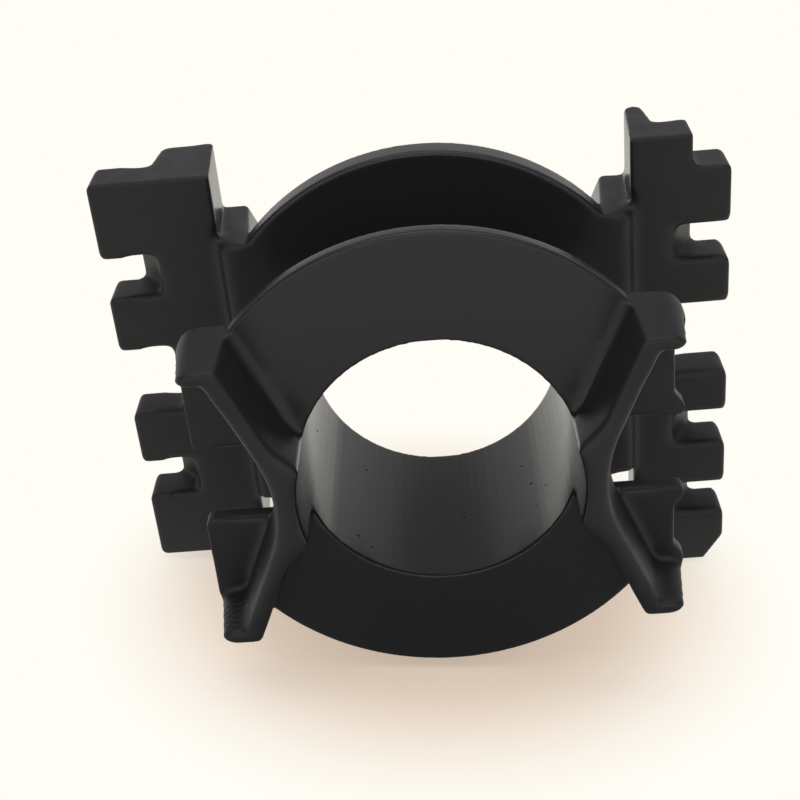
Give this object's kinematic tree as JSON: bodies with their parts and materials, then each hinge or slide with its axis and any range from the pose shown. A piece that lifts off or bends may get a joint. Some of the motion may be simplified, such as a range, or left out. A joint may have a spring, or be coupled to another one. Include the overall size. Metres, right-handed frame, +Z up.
{
  "type": "coil former",
  "caption": "Moulded plastic coil former for a round-post ferrite core: a bored tube between flanges, V-shaped core seats and slotted terminal rails.",
  "frame": {"origin": "on the bore's axis, in the plane of the front flange's outer face", "axes": "+Y along the bore from the front flange to the terminal rails, +X across the rails, +Z up along the rails"},
  "size_m": [0.0347, 0.0199, 0.0283],
  "materials": {
    "phenolic": "semi-gloss moulded phenolic, black"
  },
  "bodies": {
    "root": {"coil_former": "phenolic"}
  },
  "joints": []
}
